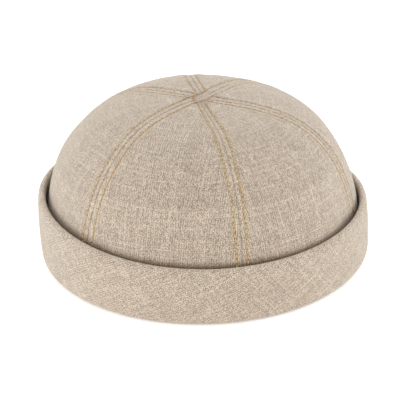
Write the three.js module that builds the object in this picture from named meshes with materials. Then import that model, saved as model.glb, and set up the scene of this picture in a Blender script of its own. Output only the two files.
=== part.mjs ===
// A brimless skull cap of woven linen: six crown panels and one turned-up cuff.
// Millimetres, +Z up, the front of the cap towards -Y, the cap's lowest edge at z = 0.
import * as THREE from 'three';

// Crown: an oval dome, measured on the outside of the cloth.
const HALF_WIDTH = 86.2;
const HALF_LENGTH = 100;
const HEIGHT = 89;
const ROUND_OUT = 2.8;        // squareness of the shoulder, sideways
const ROUND_UP = 2.9;         // squareness of the shoulder, upwards
const CROWN_FOOT = 2.2;       // height of the panels' lower edge, inside the cuff

// Cloth of the panels.
const FIELD_WALL = 1.3;       // between the seams
const SEAM_WALL = 2.1;        // where the seam allowances lie inside
const SEAM_GAP = 0.3;         // between two neighbouring panels
const PANEL_FULLNESS = 0.5;   // how far a panel swells out between its seams

// Cuff: stand-off is measured outwards from the crown's outer surface.
const WALL_STANDOFF = 4.6;
const RIM_STANDOFF = 4.4;
const CUFF_WALL = 3;
const RIM_RADIUS = 2.6;       // outer half of the rolled rim
const RIM_INNER = 2.1;        // inner half of the rolled rim
const RIM_DROP = 6;           // depth of the roll below the rim
const BOTTOM_RADIUS = 2.5;
const CHANNEL_FLOOR = 1.8;    // the crown's lower edge stands just above it
const TURN_IN_OUTER = -2.5;
const TURN_IN_INNER = -3.9;
const TURN_IN_TOP = 12;
const CUFF_HEIGHT = 32.4;     // mean height of the rim

// The rim is a little higher on one side than the other and dips between.
const RIM_WAVES = [
  { turns: 1, sine: -3.5, cosine: 0 },
  { turns: 2, sine: 1.4, cosine: -1.3 },
];

// Seams run from the cuff to the crown's top: where each starts, in degrees round from the front
// towards +X, how far it bows sideways halfway up, and how far it leans sideways near the top.
const SEAMS = [
  { azimuth: 1.5, bow: 1.9, lean: 0.5 },
  { azimuth: 62.5, bow: 0, lean: -1.7 },
  { azimuth: 122.0, bow: 4.1, lean: 2.3 },
  { azimuth: 175.0, bow: -3.2, lean: 1.2 },
  { azimuth: 233.5, bow: -2.8, lean: -1.2 },
  { azimuth: 301.2, bow: 3.6, lean: -0.6 },
];

// The seams meet a little in front of the dome's middle, and are drawn towards that point
// over this share of the oval.
const MEETING = { x: 0.5, y: -3.4 };
const MEETING_REACH = 0.6;

// Relief of a panel beside its seam: distance from the seam line and height of the surface.
const SEAM_RELIEF = [
  { distance: 0, height: -0.3 },      // the seam's groove
  { distance: 1.4, height: 0.35 },    // raised welt
  { distance: 3.6, height: 0 },       // drawn in by the topstitching
  { distance: 6.3, height: 0.3 },     // edge of the seam allowance
  { distance: 8.6, height: 0 },
];
const RELIEF_FADE = 0.42;             // a narrow panel's relief takes at most this share of it

// Fineness of the faces.
const PANEL_ROWS = 15;
const FIELD_COLUMNS = 4;              // columns between a panel's two seam zones
const CUFF_STEPS = 72;
const ROUND_STEPS = 4;                // steps in a quarter turn of the rim

const COLOURS = { panel: 0xcbbca9, cuff: 0xd2c4b3 };
const UP = new THREE.Vector3(0, 0, 1);

const radians = THREE.MathUtils.degToRad;
const mix = THREE.MathUtils.lerp;

// The crown's dome: the oval's scale at a height, from scale^ROUND_OUT + (z / HEIGHT)^ROUND_UP = 1.
function crownAt(u) {
  return {
    scale: Math.cos(u) ** (2 / ROUND_OUT),
    z: HEIGHT * Math.sin(u) ** (2 / ROUND_UP),
  };
}

// Profile parameters from the foot to the apex, at even steps along the dome's surface.
function evenProfile(rows) {
  const fine = 2000;
  const meanRadius = (HALF_WIDTH + HALF_LENGTH) / 2;
  const samples = [];
  let length = 0;
  for (let i = 0; i <= fine; i++) {
    const u = (i / fine) ** 2 * Math.PI / 2;
    const { scale, z } = crownAt(u);
    if (z < CROWN_FOOT) continue;
    const last = samples[samples.length - 1];
    if (last) length += Math.hypot((scale - last.scale) * meanRadius, z - last.z);
    samples.push({ u, scale, z, length });
  }
  const params = [];
  let at = 0;
  for (let row = 0; row <= rows; row++) {
    const wanted = length * row / rows;
    while (at < samples.length - 1 && samples[at].length < wanted) at++;
    params.push(samples[at].u);
  }
  return params;
}

// Outward direction of the dome at a point of its surface, from the gradient of its equation.
function domeNormal(x, y, z) {
  const oval = Math.hypot(x / HALF_WIDTH, y / HALF_LENGTH);
  if (oval < 1e-6) return UP.clone();
  const sideways = ROUND_OUT * oval ** (ROUND_OUT - 2);
  const upwards = ROUND_UP * (z / HEIGHT) ** (ROUND_UP - 1) / HEIGHT;
  return new THREE.Vector3(
    sideways * x / HALF_WIDTH ** 2,
    sideways * y / HALF_LENGTH ** 2,
    upwards,
  ).normalize();
}

// Millimetres along the oval for one radian round it, at the oval's full size.
function ovalSpeed(angle) {
  return Math.hypot(HALF_WIDTH * Math.cos(angle), HALF_LENGTH * Math.sin(angle));
}

// The angle at which a seam crosses the oval of profile parameter u.
function seamAngle(seam, u) {
  const angle = radians(seam.azimuth);
  const reach = Math.max(ovalSpeed(angle) * crownAt(u).scale, 1e-6);
  const late = u > Math.PI / 4 ? Math.sin(4 * u) ** 2 : 0;
  return angle + (seam.bow * Math.sin(2 * u) + seam.lean * late) / reach;
}

// A point of the dome at an angle round it, drawn towards the seams' meeting point near the top.
function domePoint(angle, u) {
  const { scale } = crownAt(u);
  const pull = 1 - THREE.MathUtils.smoothstep(scale, 0, MEETING_REACH);
  const across = scale * Math.sin(angle) + pull * MEETING.x / HALF_WIDTH;
  const along = -scale * Math.cos(angle) + pull * MEETING.y / HALF_LENGTH;
  const z = HEIGHT * (1 - Math.hypot(across, along) ** ROUND_OUT) ** (1 / ROUND_UP);
  return new THREE.Vector3(HALF_WIDTH * across, HALF_LENGTH * along, z);
}

// Distances from the seam of a panel's columns: the relief's own, then even ones between.
function columnDistances(width) {
  const zone = SEAM_RELIEF[SEAM_RELIEF.length - 1].distance;
  const squeeze = Math.min(1, RELIEF_FADE * width / zone);
  const near = SEAM_RELIEF.map((r) => ({
    distance: SEAM_GAP / 2 + r.distance * squeeze,
    height: r.height * squeeze,
    wall: SEAM_WALL,
  }));
  near[near.length - 1].wall = FIELD_WALL;
  const inner = near[near.length - 1].distance;
  const columns = [...near];
  for (let i = 1; i <= FIELD_COLUMNS; i++) {
    const distance = mix(inner, width - inner, i / (FIELD_COLUMNS + 1));
    const swell = PANEL_FULLNESS * squeeze * Math.sin(Math.PI * distance / width);
    columns.push({ distance, height: swell, wall: FIELD_WALL });
  }
  const mirrored = [...near].reverse();
  for (const c of mirrored) columns.push({ ...c, distance: width - c.distance });
  return columns;
}

// One panel: rows of outer and inner points from the foot up, ending in one point at the top.
function panelRows(left, right) {
  const rows = [];
  for (const u of evenProfile(PANEL_ROWS).slice(0, -1)) {
    const { scale } = crownAt(u);
    const start = seamAngle(left, u);
    const end = seamAngle(right, u);
    const speed = ovalSpeed((start + end) / 2) * scale;
    rows.push(columnDistances((end - start) * speed).map((column) => {
      const point = domePoint(start + column.distance / speed, u);
      const normal = domeNormal(point.x, point.y, point.z);
      return {
        outer: point.clone().addScaledVector(normal, column.height),
        inner: point.clone().addScaledVector(normal, column.height - column.wall),
      };
    }));
  }
  return rows;
}

// The tip of a panel: a point on its middle line, where its two edges meet at the top.
function panelTip(left, right) {
  const start = radians(left.azimuth);
  const end = radians(right.azimuth);
  const middle = (start + end) / 2;
  const reach = SEAM_GAP / 2 / Math.sin((end - start) / 2);
  const x = MEETING.x + reach * Math.sin(middle);
  const y = MEETING.y - reach * Math.cos(middle);
  return {
    outer: new THREE.Vector3(x, y, HEIGHT),
    inner: new THREE.Vector3(x, y, HEIGHT - SEAM_WALL),
  };
}

// Gathers triangles of shared points into a geometry with flat faces.
function closedGeometry(points, faces) {
  const geometry = new THREE.BufferGeometry();
  const flat = points.flatMap((p) => [p.x, p.y, p.z]);
  geometry.setAttribute('position', new THREE.Float32BufferAttribute(flat, 3));
  geometry.setIndex(faces.flat());
  geometry.computeVertexNormals();
  return geometry;
}

function panelGeometry(left, right) {
  const rows = panelRows(left, right);
  const tip = panelTip(left, right);
  const width = rows[0].length;
  const points = [];
  for (const row of rows) points.push(...row.map((c) => c.outer));
  const innerStart = points.length;
  for (const row of rows) points.push(...row.map((c) => c.inner));
  const tipOuter = points.length;
  const tipInner = tipOuter + 1;
  points.push(tip.outer, tip.inner);

  const outer = (row, column) => row * width + column;
  const inner = (row, column) => innerStart + row * width + column;
  const faces = [];
  const quad = (a, b, c, d) => faces.push([a, b, c], [a, c, d]);
  const lastRow = rows.length - 1;
  const lastColumn = width - 1;
  for (let c = 0; c < lastColumn; c++) {
    for (let r = 0; r < lastRow; r++) {
      quad(outer(r, c), outer(r, c + 1), outer(r + 1, c + 1), outer(r + 1, c));
      quad(inner(r, c), inner(r + 1, c), inner(r + 1, c + 1), inner(r, c + 1));
    }
    quad(outer(0, c), inner(0, c), inner(0, c + 1), outer(0, c + 1));
    faces.push([outer(lastRow, c), outer(lastRow, c + 1), tipOuter]);
    faces.push([inner(lastRow, c), tipInner, inner(lastRow, c + 1)]);
  }
  for (let r = 0; r < lastRow; r++) {
    quad(outer(r, 0), outer(r + 1, 0), inner(r + 1, 0), inner(r, 0));
    quad(outer(r, lastColumn), inner(r, lastColumn), inner(r + 1, lastColumn), outer(r + 1, lastColumn));
  }
  quad(outer(lastRow, 0), tipOuter, tipInner, inner(lastRow, 0));
  quad(outer(lastRow, lastColumn), inner(lastRow, lastColumn), tipInner, tipOuter);
  return closedGeometry(points, faces);
}

function rimHeight(angle) {
  return RIM_WAVES.reduce(
    (sum, w) => sum + w.sine * Math.sin(w.turns * angle) + w.cosine * Math.cos(w.turns * angle),
    CUFF_HEIGHT,
  );
}

// Points on an elliptic arc in the cuff's section, from one angle to another, in degrees.
function sectionArc(centre, radiusOut, radiusUp, from, to, steps) {
  return Array.from({ length: steps + 1 }, (_, i) => {
    const angle = radians(mix(from, to, i / steps));
    return {
      out: centre.out + radiusOut * Math.cos(angle),
      up: centre.up + radiusUp * Math.sin(angle),
    };
  });
}

// The cuff's section at one angle, once round it: stand-off from the crown, and height.
function cuffSection(angle) {
  const rim = rimHeight(angle);
  const rollCentre = { out: RIM_STANDOFF - RIM_RADIUS, up: rim - RIM_RADIUS };
  const bottomCentre = { out: WALL_STANDOFF - BOTTOM_RADIUS, up: BOTTOM_RADIUS };
  const wallInside = WALL_STANDOFF - CUFF_WALL;
  const turnCentre = { out: (TURN_IN_OUTER + TURN_IN_INNER) / 2, up: TURN_IN_TOP - 1 };
  const turnHalf = (TURN_IN_OUTER - TURN_IN_INNER) / 2;
  return [
    ...sectionArc(bottomCentre, BOTTOM_RADIUS, BOTTOM_RADIUS, -90, 0, 3),
    ...sectionArc(rollCentre, RIM_RADIUS, RIM_RADIUS, 0, 90, ROUND_STEPS),
    ...sectionArc(rollCentre, RIM_INNER, RIM_RADIUS, 90, 180, ROUND_STEPS).slice(1),
    { out: wallInside - 0.9, up: rim - RIM_DROP },
    { out: wallInside, up: rim - RIM_DROP - 2 },
    { out: wallInside, up: CHANNEL_FLOOR },
    { out: TURN_IN_OUTER, up: CHANNEL_FLOOR },
    ...sectionArc(turnCentre, turnHalf, 1, 0, 180, 2),
    { out: TURN_IN_INNER, up: 1 },
    { out: TURN_IN_INNER + 1, up: 0 },
  ];
}

function cuffGeometry() {
  const points = [];
  const faces = [];
  const sectionSize = cuffSection(0).length;
  for (let step = 0; step < CUFF_STEPS; step++) {
    const angle = step / CUFF_STEPS * 2 * Math.PI;
    for (const { out, up } of cuffSection(angle)) {
      points.push(new THREE.Vector3(
        (HALF_WIDTH + out) * Math.sin(angle),
        -(HALF_LENGTH + out) * Math.cos(angle),
        up,
      ));
    }
    const here = step * sectionSize;
    const there = (step + 1) % CUFF_STEPS * sectionSize;
    for (let i = 0; i < sectionSize; i++) {
      const next = (i + 1) % sectionSize;
      faces.push([here + i, there + i, there + next], [here + i, there + next, here + next]);
    }
  }
  return closedGeometry(points, faces);
}

function cloth(color) {
  return new THREE.MeshStandardMaterial({ color, roughness: 0.95, metalness: 0 });
}

function piece(name, geometry, color) {
  const mesh = new THREE.Mesh(geometry, cloth(color));
  mesh.name = name;
  return mesh;
}

const group = new THREE.Group();
SEAMS.forEach((left, i) => {
  const next = SEAMS[(i + 1) % SEAMS.length];
  const wraps = next.azimuth < left.azimuth;
  const right = { ...next, azimuth: next.azimuth + (wraps ? 360 : 0) };
  group.add(piece(`crown_panel_${i + 1}`, panelGeometry(left, right), COLOURS.panel));
});
group.add(piece('cuff', cuffGeometry(), COLOURS.cuff));

export default group;
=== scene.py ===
"""A linen docker cap: six crown panels, a turned-up cuff and ochre topstitching.

The file is laid out as an add-on. Run as a script it builds the cap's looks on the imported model:
every piece is a surface worked out on a grid from the sizes in the property groups below.
Lengths are metres, +Z is up and the front of the cap looks towards -Y.
"""

import math

import bpy
import numpy as np
from bpy.props import FloatProperty, FloatVectorProperty, IntProperty, PointerProperty
from mathutils import Matrix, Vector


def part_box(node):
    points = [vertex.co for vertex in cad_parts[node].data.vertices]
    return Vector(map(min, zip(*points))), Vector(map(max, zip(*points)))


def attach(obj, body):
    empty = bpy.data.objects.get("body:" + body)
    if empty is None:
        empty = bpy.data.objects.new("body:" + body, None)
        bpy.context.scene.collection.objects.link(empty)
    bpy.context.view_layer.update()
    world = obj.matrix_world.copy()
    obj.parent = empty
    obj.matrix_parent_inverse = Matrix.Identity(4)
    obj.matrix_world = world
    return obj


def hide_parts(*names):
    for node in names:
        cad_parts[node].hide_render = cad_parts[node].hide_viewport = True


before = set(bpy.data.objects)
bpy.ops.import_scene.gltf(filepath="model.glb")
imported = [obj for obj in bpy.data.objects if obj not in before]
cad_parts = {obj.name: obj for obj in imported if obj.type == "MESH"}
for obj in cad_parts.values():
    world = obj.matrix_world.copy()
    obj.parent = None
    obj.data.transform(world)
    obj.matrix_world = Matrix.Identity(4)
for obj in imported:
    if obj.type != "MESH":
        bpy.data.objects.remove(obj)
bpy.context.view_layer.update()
cuff_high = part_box("cuff")[1]

bl_info = {
    "name": "Linen docker cap",
    "version": (1, 0, 0),
    "blender": (4, 5, 0),
    "location": "3D View > Sidebar > Docker cap",
    "description": "Builds a six-panel linen skull cap with a turned-up cuff",
    "category": "Add Mesh",
}

MM = 0.001
BODY = "root"


def in_mm(**lengths):
    """Named lengths, given in millimetres and kept in metres."""
    return {name: np.multiply(value, MM) for name, value in lengths.items()}


# The cuff stands this far out from the crown's outer surface, so the crown's oval follows from it.
WALL_STANDOFF = 4.6 * MM

# Seams from the cuff to the top: degrees round from the front towards +X at the foot, the
# sideways bow halfway up, the lean above the shoulder, the hook nearer the meeting point and the
# share of the oval where it is widest, how far out the stitch rows lie and by how much they
# spread or close up at the top. For the row on each side there follow how many millimetres from
# the meeting point it starts and how much its thread has faded.
SEAMS = (
    {"azimuth": 1.5, "hook_at": 0.20, "starts": (5, 6), "faded": (0.0, 0.0),
     **in_mm(bow=1.9, lean=0.7, hook=-0.9, rows=3.1, spread=-1.2)},
    {"azimuth": 62.5, "hook_at": 0.10, "starts": (2, 8), "faded": (0.1, 0.75),
     **in_mm(bow=0.0, lean=-1.7, hook=0.0, rows=3.75, spread=0.6)},
    {"azimuth": 122.0, "hook_at": 0.10, "starts": (0, 0), "faded": (0.45, 0.45),
     **in_mm(bow=4.1, lean=2.3, hook=0.0, rows=3.85, spread=0.6)},
    {"azimuth": 175.0, "hook_at": 0.08, "starts": (12, 9), "faded": (0.2, 0.3),
     **in_mm(bow=-3.2, lean=1.2, hook=-2.3, rows=3.2, spread=-0.2)},
    {"azimuth": 233.5, "hook_at": 0.15, "starts": (5, 5), "faded": (0.55, 0.55),
     **in_mm(bow=-2.8, lean=0.6, hook=-0.8, rows=3.4, spread=0.6)},
    {"azimuth": 301.2, "hook_at": 0.10, "starts": (0, 0), "faded": (0.15, 0.0),
     **in_mm(bow=3.6, lean=-0.6, hook=0.0, rows=3.9, spread=0.2)},
)

# The panels' tips end this near the apex, so that they meet there without folding over.
TIP_RADIUS = 0.03 * MM
TINY = 1e-9

# Samples of the dome's profile, and the rows that a seam's lengths are measured on.
PROFILE_SAMPLES = 20001
FINE_ROWS = 600

# Where the crown has sunk in a little, or with a minus stands up, and the cloth's slow waves.
DENTS = (
    in_mm(place=(76, -2, 56), depth=1.2, reach=24),
    in_mm(place=(28, 46, 82), depth=0.8, reach=36),
    in_mm(place=(-55, 44, 71), depth=0.9, reach=22),
    in_mm(place=(12, -6, 89), depth=0.6, reach=16),
    in_mm(place=(-27, 22, 86), depth=-0.8, reach=26),
)
WAVE_SPREAD = (0.7, 1.5)
SOFT_WAVES = (
    {"count": 7, **in_mm(height=0.30, length=52)},
    {"count": 9, **in_mm(height=0.07, length=24)},
)

# The rim's height round the cap: how often each wave turns, and its sine and cosine parts.
RIM_WAVES = (
    {"turns": 1, **in_mm(sine=-3.5, cosine=0.0)},
    {"turns": 2, **in_mm(sine=1.4, cosine=-1.3)},
)

# What each use of random numbers adds to the seed, so that each has its own start.
FORM_START = 1
CUFF_START = 2
ROW_START = 3
GROOVE_START = 4
PUCKER_START = 5
STITCH_START = 9
TACK_START = 10

# A stitch row's sway, its wavelengths and how far from the top the row's spread reaches.
ROW = in_mm(sway=0.14, waves=(23, 37, 61), reach=30)

# The groove on a seam: its size, its swing, and the share left at the top, which grows to the
# whole between two lengths.
GROOVE = in_mm(reach=0.75, depth=0.18, swing=0.14, waves=(3.1, 4.9, 8.3, 17), grows=(20, 60))
GROOVE_LEFT = 0.3

# The welt on the allowance, which ends before and after its edge, the valley under the stitches
# with the needle holes, the pucker beside the thread and the dents from the holes to the seam.
WELT = in_mm(height=0.30, rise=1.2, before=0.6, after=1.6)
VALLEY = in_mm(depth=0.26, hole=0.20, width=0.66)
PUCKER = in_mm(height=0.17, reach=3.2, clear=0.5, waves=(4.3, 5.9, 8.1, 11.3))
LADDER = in_mm(depth=0.07, start=(0.6, 1.6), end=1.5)

# A panel's finer columns beside a seam: width, share of a narrow panel and crowding.
ZONE_WIDTH = 9.6 * MM
ZONE_SHARE = 0.42
ZONE_POWER = 1.25

# Panel widths over which each of these grows from nothing to the whole.
GROWS = in_mm(groove=(0, 3), relief=(3, 12), marks=(2, 9), line=(0.1, 1.2))

# The marks that the material shades by: widths on a row and a seam, where the welt starts and how
# far before the row it ends, lengths from the top between which the seam's line goes from double
# to single, heights about the rim over which the painted shade behind the rim fades out, and the
# share that worn thread takes off.
MARKS = in_mm(
    row=0.45, haze=1.3, seam=0.3, welt=(0.4, 1.2), row_gap=0.9, line=(4, 16), fold=(-2, 3.4))
WORN_SHARE = 0.7


def length_property(name, description, default):
    """A length for the sidebar."""
    return FloatProperty(name=name, description=description, default=default, unit="LENGTH")


def number_property(name, description, default):
    """A plain number for the sidebar."""
    return FloatProperty(name=name, description=description, default=default)


def colour_property(name, description, default):
    """A colour for the sidebar."""
    return FloatVectorProperty(
        name=name, description=description, default=default, subtype="COLOR", min=0.0, max=1.0)


class CapSizes(bpy.types.PropertyGroup):
    """The cap's form."""

    half_width: length_property(
        "Half width", "Crown's outer half width at its foot", cuff_high.x - WALL_STANDOFF)
    half_length: length_property(
        "Half length", "Crown's outer half length at its foot", cuff_high.y - WALL_STANDOFF)
    height: length_property("Height", "Height of the apex above the table", 89 * MM)
    round_out: number_property("Roundness outwards", "Squareness of the shoulder, sideways", 2.8)
    round_up: number_property("Roundness upwards", "Squareness of the shoulder, upwards", 2.9)
    crown_foot: length_property("Crown foot", "Height of the panels' lower edge", 2.2 * MM)
    field_wall: length_property("Cloth", "Thickness of the cloth between the seams", 1.3 * MM)
    seam_wall: length_property("Cloth at seams", "Thickness over the seam allowances", 2.1 * MM)
    meeting_right: length_property(
        "Meeting point, right", "Where the seams meet, right of the dome's middle", 0.5 * MM)
    meeting_front: length_property(
        "Meeting point, front", "Where the seams meet, in front of the dome's middle", 3.4 * MM)
    meeting_reach: number_property(
        "Meeting reach", "Share of the oval over which seams draw to that point", 0.6)
    fullness: length_property("Fullness", "How far a panel swells out between its seams", 0.5 * MM)
    cuff_height: length_property("Cuff height", "Mean height of the rim", 32.4 * MM)
    rim_standoff: length_property("Rim stand-off", "How far out the rim lies", 4.4 * MM)
    rim_radius: length_property("Rim radius", "Radius of the rolled rim, outside", 2.6 * MM)


class SewingSizes(bpy.types.PropertyGroup):
    """The seams and the topstitching."""

    pitch: length_property("Stitch pitch", "Distance from one needle hole to the next", 2.7 * MM)
    thread: length_property("Thread radius", "Radius of the sewing thread", 0.27 * MM)
    allowance: length_property("Seam allowance", "Width of the cloth beside a seam", 7.3 * MM)
    seed: IntProperty(
        name="Seed", description="Start of the cloth's and the stitches' irregularities",
        default=7)


class CapFinish(bpy.types.PropertyGroup):
    """Colours and yarn sizes."""

    yarn_pale: colour_property("Pale yarn", "Lightest flax yarn", (0.64, 0.54, 0.44))
    yarn_mid: colour_property("Middle yarn", "Most of the yarn", (0.46, 0.37, 0.285))
    yarn_dark: colour_property("Dark yarn", "Unbleached grey-brown yarn", (0.26, 0.205, 0.15))
    sheen: colour_property("Sheen", "Tone of the light on the cloth's fine hairs", (1.0, 0.955, 0.885))
    # The tint of the painted shade on the crown's cloth behind the rim.
    rim_shade_tint: colour_property(
        "Fold tint", "Deeper tone of the crown's cloth behind the rim", (0.42, 0.335, 0.235))
    haze: colour_property("Haze", "Warm tint of the cloth beside the thread", (1.0, 0.955, 0.82))
    thread: colour_property("Thread", "Ochre topstitching thread", (0.70, 0.45, 0.24))
    thread_olive: colour_property("Olive thread", "Yellower stretches", (0.64, 0.51, 0.30))
    thread_top: colour_property(
        "Thread at the top", "Darker, redder thread round the apex", (0.46, 0.235, 0.11))
    thread_faded: colour_property(
        "Worn thread", "Thread that has faded to nearly the cloth's tone", (0.50, 0.39, 0.265))
    floor: colour_property("Floor", "Pale table top", (0.94, 0.94, 0.94))
    floor_glow: number_property("Floor glow", "Light that comes through the table top", 0.29)
    yarn_pitch: length_property("Yarn pitch", "Distance from one yarn to the next", 0.61 * MM)
    cuff_grain: FloatProperty(
        name="Cuff grain", description="Turn of the cuff's weave: it is cut on the bias",
        default=math.radians(-58), subtype="ANGLE")


def sizes():
    """The cap's form as the sidebar has it."""
    return bpy.context.scene.cap_sizes


def sewing():
    """The seams and the topstitching as the sidebar has them."""
    return bpy.context.scene.cap_sewing


def finish():
    """The colours and yarn sizes as the sidebar has them."""
    return bpy.context.scene.cap_finish


def smooth_step(low, high, x):
    """0 below low, 1 above high and a smooth S between them."""
    t = np.clip((x - low) / (high - low), 0, 1)
    return t * t * (3 - 2 * t)


def bump_at(x, centre, width):
    """A bell of height 1 at centre that falls off over width."""
    return np.exp(-((x - centre) / width) ** 2)


def unit(vectors):
    """The same directions, one metre long."""
    return vectors / np.linalg.norm(vectors, axis=-1, keepdims=True)


def wander(x, wavelengths, rng):
    """A sum of sine waves of the given wavelengths with random starts, between about -1 and 1."""
    total = np.zeros_like(x)
    for length in wavelengths:
        total = total + np.sin(2 * math.pi * x / length + rng.uniform(0, 2 * math.pi))
    return total / len(wavelengths)


def drift(points, wavelength, count, rng):
    """Soft unevenness in space: plane waves of about one wavelength in random directions."""
    total = np.zeros(points.shape[:-1])
    for _ in range(count):
        heading = unit(rng.normal(size=3))
        length = wavelength * rng.uniform(*WAVE_SPREAD)
        total += np.sin(2 * math.pi * (points @ heading) / length + rng.uniform(0, 2 * math.pi))
    return total / math.sqrt(count)


def dome_profile(u):
    """The dome's oval at parameter u from 0 at the foot to a quarter turn at the apex.

    Scale is cos(u) to the power 2 / round_out, and height is the apex height times
    sin(u) to the power 2 / round_up: a rounded box section.
    """
    s = sizes()
    scale = np.cos(u) ** (2 / s.round_out)
    return scale, s.height * np.sin(u) ** (2 / s.round_up)


def dome_rows(count):
    """Profile parameters from the foot to beside the apex at even steps of surface length."""
    s = sizes()
    u = np.linspace(0, 1, PROFILE_SAMPLES) ** 2 * math.pi / 2
    scale, z = dome_profile(u)
    keep = z >= s.crown_foot
    u, scale, z = u[keep], scale[keep], z[keep]
    radius = (s.half_width + s.half_length) / 2
    steps = np.hypot(np.diff(scale) * radius, np.diff(z))
    length = np.concatenate([[0], np.cumsum(steps)])
    rows = np.interp(np.linspace(0, length[-1], count + 1), length, u)
    rows[-1] = np.arccos((TIP_RADIUS / radius) ** (s.round_out / 2))
    return rows


def dome_height(x, y):
    """Height of the dome: oval radius to round_out plus height share to round_up is 1."""
    s = sizes()
    oval = np.minimum(np.hypot(x / s.half_width, y / s.half_length), 1)
    return s.height * (1 - oval ** s.round_out) ** (1 / s.round_up)


def dome_point(angle, u):
    """Point of the dome at an angle round from the front: x = width sin, y = -length cos, scaled.

    Near the top the points are drawn towards the place where the seams meet, wholly in the
    middle and, by a smooth step, not at all beyond meeting_reach.
    """
    s = sizes()
    scale, _ = dome_profile(u)
    pull = 1 - smooth_step(0, s.meeting_reach, scale)
    x = s.half_width * scale * np.sin(angle) + pull * s.meeting_right
    y = -s.half_length * scale * np.cos(angle) - pull * s.meeting_front
    return np.stack([x, y, dome_height(x, y)], -1)


def dome_normal(points):
    """Outward direction: the gradient of oval radius to round_out plus height share to round_up."""
    s = sizes()
    x, y, z = np.moveaxis(points, -1, 0)
    oval = np.maximum(np.hypot(x / s.half_width, y / s.half_length), TINY)
    sideways = s.round_out * oval ** (s.round_out - 2)
    share = np.clip(z / s.height, 0, None)
    upwards = s.round_up * share ** (s.round_up - 1) / s.height
    across, forwards = sideways * x / s.half_width ** 2, sideways * y / s.half_length ** 2
    return unit(np.stack([across, forwards, upwards], -1))


def oval_speed(angle):
    """Metres along the full-size oval for one radian round it."""
    s = sizes()
    return np.hypot(s.half_width * np.cos(angle), s.half_length * np.sin(angle))


def seam_angle(seam, u):
    """Angle at which a seam crosses profile parameter u.

    It is the azimuth plus a sideways shift over the reach from the middle: the bow times
    sin(2u), in the upper half the lean times the square of sin(4u), and the hook times
    k squared times exp(2 - 2k), where k is the share of the oval over the hook's own share.
    """
    angle = math.radians(seam["azimuth"])
    share, _ = dome_profile(u)
    reach = np.maximum(oval_speed(angle) * share, TINY)
    late = np.where(u > math.pi / 4, np.sin(4 * u) ** 2, 0)
    k = share / seam["hook_at"]
    hook = k ** 2 * np.exp(2 - 2 * k)
    shift = seam["bow"] * np.sin(2 * u) + seam["lean"] * late + seam["hook"] * hook
    return angle + shift / reach


def seam_pair(index):
    """The left and right seam of a panel, the right one a turn on where the count wraps."""
    left = SEAMS[index]
    right = dict(SEAMS[(index + 1) % len(SEAMS)])
    if right["azimuth"] < left["azimuth"]:
        right["azimuth"] += 360
    return left, right


def panel_beside(seam_index, side):
    """The panel on a seam's right side, or on its left one for a side below 0."""
    return seam_index if side > 0 else (seam_index - 1) % len(SEAMS)


def random_start(*numbers):
    """The random start that belongs to some numbers, the same wherever it is asked for."""
    return np.random.default_rng([sewing().seed, *numbers])


def row_distance(seam_index, side, along):
    """Distance of a stitch row from its seam, by length from the top.

    It is the seam's own value, plus its spread times a bell at the top, and it wanders a
    little as a hand-guided row does.
    """
    seam = SEAMS[seam_index]
    near = bump_at(along, 0, ROW["reach"])
    sway = wander(along, ROW["waves"], random_start(seam_index, side, ROW_START))
    return seam["rows"] + seam["spread"] * near + ROW["sway"] * sway


def seam_groove(seam_index, distance, along):
    """The panel's edge rolls down into the seam by a square, unevenly and less near the top."""
    sway = wander(along, GROOVE["waves"], random_start(seam_index, GROOVE_START))
    share = GROOVE_LEFT + (1 - GROOVE_LEFT) * smooth_step(*GROOVE["grows"], along)
    depth = (GROOVE["depth"] + GROOVE["swing"] * sway) * share
    return -depth * np.clip(1 - distance / GROOVE["reach"], 0, 1) ** 2


def seam_relief(seam_index, side, distance, along):
    """Height of the cloth beside a seam, by distance from it and length along it.

    A welt stands on the allowance and ends in a low step, a valley lies under the stitches with
    a dimple at each needle hole, the cloth puckers beside the row, and a shallow dent runs from
    each needle hole to the seam.
    """
    w = sewing()
    row = row_distance(seam_index, side, along)
    edge = smooth_step(w.allowance - WELT["before"], w.allowance + WELT["after"], distance)
    welt = WELT["height"] * smooth_step(0, WELT["rise"], distance) * (1 - edge)
    holes = 0.5 + 0.5 * np.cos(2 * math.pi * along / w.pitch)
    valley = (VALLEY["depth"] + VALLEY["hole"] * holes) * bump_at(distance, row, VALLEY["width"])
    pucker = wander(along, PUCKER["waves"], random_start(seam_index, side, PUCKER_START))
    pucker = pucker * bump_at(distance, row, PUCKER["reach"])
    pucker = pucker * (1 - bump_at(distance, row, PUCKER["clear"]))
    ladder = LADDER["depth"] * holes * smooth_step(*LADDER["start"], distance)
    ladder = ladder * (1 - smooth_step(row, row + LADDER["end"], distance))
    return welt - valley + PUCKER["height"] * pucker - ladder


def panel_distances(width, zone_steps, field_steps):
    """Distances from the left seam of a panel's columns, for every row's width.

    Two seam zones take zone_steps each, closer together near the seam. The field between them
    is split evenly.
    """
    zone = np.minimum(ZONE_WIDTH, ZONE_SHARE * width)[:, None]
    near = (np.linspace(0, 1, zone_steps + 1) ** ZONE_POWER)[None, :] * zone
    middle = zone + (width[:, None] - 2 * zone) * np.linspace(0, 1, field_steps + 1)[None, 1:-1]
    return np.concatenate([near, middle, width[:, None] - near[:, ::-1]], axis=1)


def panel_frame(index, u):
    """A panel's left angle, width and speed round the oval, and its length from the apex, at u."""
    left, right = seam_pair(index)
    start, end = seam_angle(left, u), seam_angle(right, u)
    middle = (start + end) / 2
    speed = oval_speed(middle) * dome_profile(u)[0]
    step = np.linalg.norm(np.diff(dome_point(middle, u), axis=0), axis=1)
    from_apex = np.concatenate([np.cumsum(step[::-1])[::-1], [0]])
    return {"start": start, "speed": speed, "width": (end - start) * speed, "from_apex": from_apex}


def seams_beside(index, from_left, width):
    """A panel's left and right seam, the side of each that the panel is on, and the distance."""
    return (index, 0, from_left), ((index + 1) % len(SEAMS), 1, width - from_left)


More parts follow.
